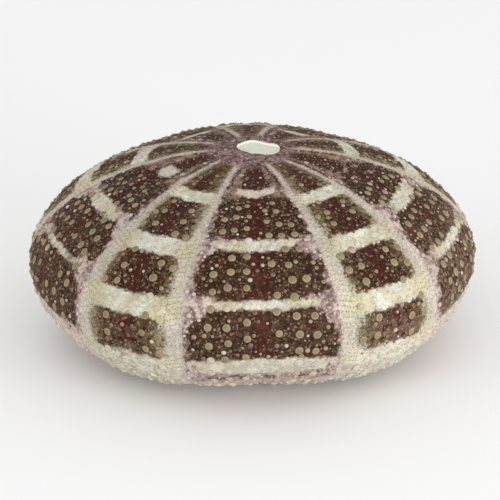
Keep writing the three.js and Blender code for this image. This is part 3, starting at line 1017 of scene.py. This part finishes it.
def wall_finish(names):
    """The wall: each pattern is laid over the one before, along the fields of the mesh."""
    f = Finish("wall_limestone")
    at = SimpleNamespace(**{name: f.attribute(name) for name in names})
    ambu = f.math("SUBTRACT", 1.0, at.inter)

    rim = f.times(f.step(f.swayed(at.panel, 1.6, 8.4, 2.0), 4.4, 1.4), ambu)
    olive = f.times(rim, f.patches(0.8, 8.6, 0.42, 0.58))
    colour = f.mix(f.times(olive, 0.75), panel_colour(f, at), OLIVE)
    outside_panel = f.edge(f.times(at.panel, -1.0), 3.0, 0.7, 1.8, 8.0)
    colour = f.mix(f.times(outside_panel, ambu), colour, pore_zone_colour(f, at))
    colour = f.mix(f.times(f.edge(at.mauve, 3.4, 0.8, 2.2, 11.0), 0.92), colour, mauve_colour(f))
    young_flank = f.times(f.edge(at.flank, 0.9, 0.5, 1.2, 11.4), f.step(at.seam, 0.9, 2.0))
    colour = f.mix(young_flank, colour, f.mottled(*YOUNG_FLANK, 1.3, 11.2, 0.4, 0.62))
    colour = f.mix(f.edge(at.bar, 1.3, 0.55, 1.9, 13.0), colour, bar_colour(f, at))
    colour = f.mix(f.edge(at.pale, 3.6, 1.3, 2.8, 15.0), colour, base_colour(f, at))
    line = f.edge(f.math("SUBTRACT", 0.5, at.seam), 0.8, 0.4, 0.9, 16.0)
    colour = f.mix(f.times(line, 0.75), colour, SEAM_LINE)
    colour = f.mix(f.edge(at.apex, 2.6, 1.6, 1.6, 20.0), colour, apex_colour(f))

    grain = f.mix_value(f.patches(0.5, 21.5, 0.35, 0.65), 0.84, 1.08)
    patchy = f.mix_value(f.patches(5.0, 21.8, 0.35, 0.65), 0.9, 1.06)
    colour = f.scaled(colour, f.times(grain, patchy))
    inner = f.mottled(*INNER, 6.0, 21.0, 0.35, 0.7)
    colour = f.mix(f.step(at.inside, 0.2, 0.75), colour, inner)
    coarse = f.bump(f.noise(1.2, 4.0, 23.0), 0.22, 0.8)
    fine = f.bump(f.cells(0.5, 24.0), 0.1, 0.7, coarse)
    return f.done(colour, f.mix_value(f.noise(0.9, 3.0, 22.0), 0.5, 0.8), fine)


def knob_finish(name, dark_rim, fine_size):
    """For knobs: their own tint, a paler ring, a darker foot and middle, and a little mottling."""
    f = Finish(name)
    tint = f.attribute("tint", "Color")
    rim = f.attribute("rim")
    ring = f.times(f.step(rim, 0.5, 0.66), f.step(rim, 0.95, 0.8))
    colour = f.mix(f.times(ring, 0.25), tint, KNOB_RING)
    foot = f.times(f.step(rim, 0.88, 1.0), dark_rim)
    colour = f.mix(foot, colour, f.mix(0.8, tint, DARK_BROWN))
    groove = f.times(f.step(rim, 0.34, 0.44), f.step(rim, 0.6, 0.5))
    colour = f.mix(f.times(groove, 0.3), colour, KNOB_GROOVE)
    colour = f.mottled(colour, KNOB_MOTTLE, fine_size, 1.0, 0.42, 0.7, share=0.4)
    roughness = f.mix_value(f.noise(fine_size, 2.0, 2.0), 0.42, 0.68)
    return f.done(colour, roughness, f.bump(f.noise(fine_size / 2, 3.0, 3.0), 0.05, 0.7))


def pore_finish():
    """For pores: a pale raised rim round a middle painted dark, as painted shade for the open hole."""
    f = Finish("pore_rims")
    tint = f.attribute("tint", "Color")
    # The middle of each pore, where the shade of an open hole is painted.
    hole_shade_mask = f.step(f.attribute("rim"), 0.76, 0.5)
    pale = f.mix(f.times(f.noise(0.6, 2.0, 1.0), 0.3), tint, CREAM)
    # Painted shade: the middle of each pore is darkened as if it were an open hole.
    colour = f.mix(hole_shade_mask, pale, f.mix(0.5, tint, PORE_HOLE_SHADE))
    roughness = f.plus(f.times(hole_shade_mask, 0.2), 0.55)
    return f.done(colour, roughness, f.bump(f.noise(0.3, 2.0, 2.0), 0.03, 0.5))


def auricle_finish():
    f = Finish("auricle_calcite")
    colour = f.mottled(*ARCHES, 1.8, 1.0, 0.35, 0.7)
    roughness = f.plus(f.times(f.noise(1.0, 2.0, 2.0), 0.25), 0.45)
    return f.done(colour, roughness, f.bump(f.noise(0.8, 3.0, 3.0), 0.12, 0.6))


def floor_finish():
    f = Finish("studio_floor")
    colour = f.mix(f.times(f.noise(40.0, 2.0, 1.0), 0.04), FLOOR["light"], FLOOR["shade"])
    roughness = f.plus(f.times(f.noise(20.0, 2.0, 2.0), 0.05), 0.85)
    return f.done(colour, roughness, f.bump(f.noise(4.0, 2.0, 3.0), 0.01, 0.2))


# Stage, light and camera

# In metres and watts. The floor's colours are linear.
FLOOR = {"half": 3.0, "height": -0.0002, "light": (0.93, 0.93, 0.93, 1.0), "shade": (0.9, 0.9, 0.9, 1.0)}
WORLD_STRENGTH = 0.9
SOFTBOXES = {
    "key_softbox": {"place": (0.7, -0.68, 0.14), "size": (0.7, 0.26), "power": 6.3},
    "fill_softbox": {"place": (-0.85, -0.42, 0.14), "size": (0.5, 0.26), "power": 2.1},
}
AIM = (0, 0, 0.02)
INNER_GLOW = {"place": (0, 0, 0.022), "power": 0.032, "radius": 0.008}


def build_stage():
    half = FLOOR["half"]
    corners = [(x * half, y * half, FLOOR["height"]) for x, y in ((-1, -1), (1, -1), (1, 1), (-1, 1))]
    mesh = bpy.data.meshes.new("floor")
    mesh.from_pydata(corners, [], [(0, 1, 2, 3)])
    mesh.materials.append(floor_finish())
    floor = placed("floor", mesh)


def add_lamp(name, kind, place, power):
    lamp = bpy.data.lights.new(name, kind)
    lamp.energy = power
    light = placed(name, lamp)
    light.location = place
    return light


def build_lights():
    world = bpy.data.worlds.new("studio")
    bpy.context.scene.world = world
    world.use_nodes = True
    background = world.node_tree.nodes["Background"]
    background.inputs["Color"].default_value = (1.0, 1.0, 1.0, 1.0)
    background.inputs["Strength"].default_value = WORLD_STRENGTH
    for name, box in SOFTBOXES.items():
        light = add_lamp(name, "AREA", box["place"], box["power"])
        light.data.shape = "RECTANGLE"
        light.data.size, light.data.size_y = box["size"]
        light.rotation_euler = (Vector(AIM) - Vector(box["place"])).to_track_quat("-Z", "Y").to_euler()
    glow = add_lamp("inner_glow", "POINT", INNER_GLOW["place"], INNER_GLOW["power"])
    glow.data.shadow_soft_size = INNER_GLOW["radius"]


def build_camera():
    """The camera that the photograph was taken with, as fitted."""
    radius = CAMERA["radius"] * MM
    view = Matrix.Rotation(math.radians(CAMERA["azimuth"]), 4, "Z")
    view = view @ Matrix.Rotation(math.radians(90 - CAMERA["elevation"]), 4, "X")
    place = view @ Vector((CAMERA["across"] * radius, 0, CAMERA["distance"] * radius))
    view = view @ Matrix.Rotation(math.radians(CAMERA["roll"]), 4, "Z")
    view.translation = place + Vector((0, 0, AMBITUS_Z * MM))
    lens = bpy.data.cameras.new("camera")
    lens.sensor_width = CAMERA["sensor"]
    lens.lens = CAMERA["sensor"] * CAMERA["pixels_per_radius"] * CAMERA["distance"] / CAMERA["image"]
    lens.clip_start, lens.clip_end = CAMERA["clip"]
    camera = placed("camera", lens)
    camera.matrix_world = view
    bpy.context.scene.camera = camera


def build_shell():
    build_wall()
    large = large_tubercles()
    small = small_tubercles([large])
    granules([large, small])
    pores()
    build_auricles()


bpy.context.scene.view_settings.view_transform = "Standard"
build_camera()
build_lights()
build_stage()
build_shell()
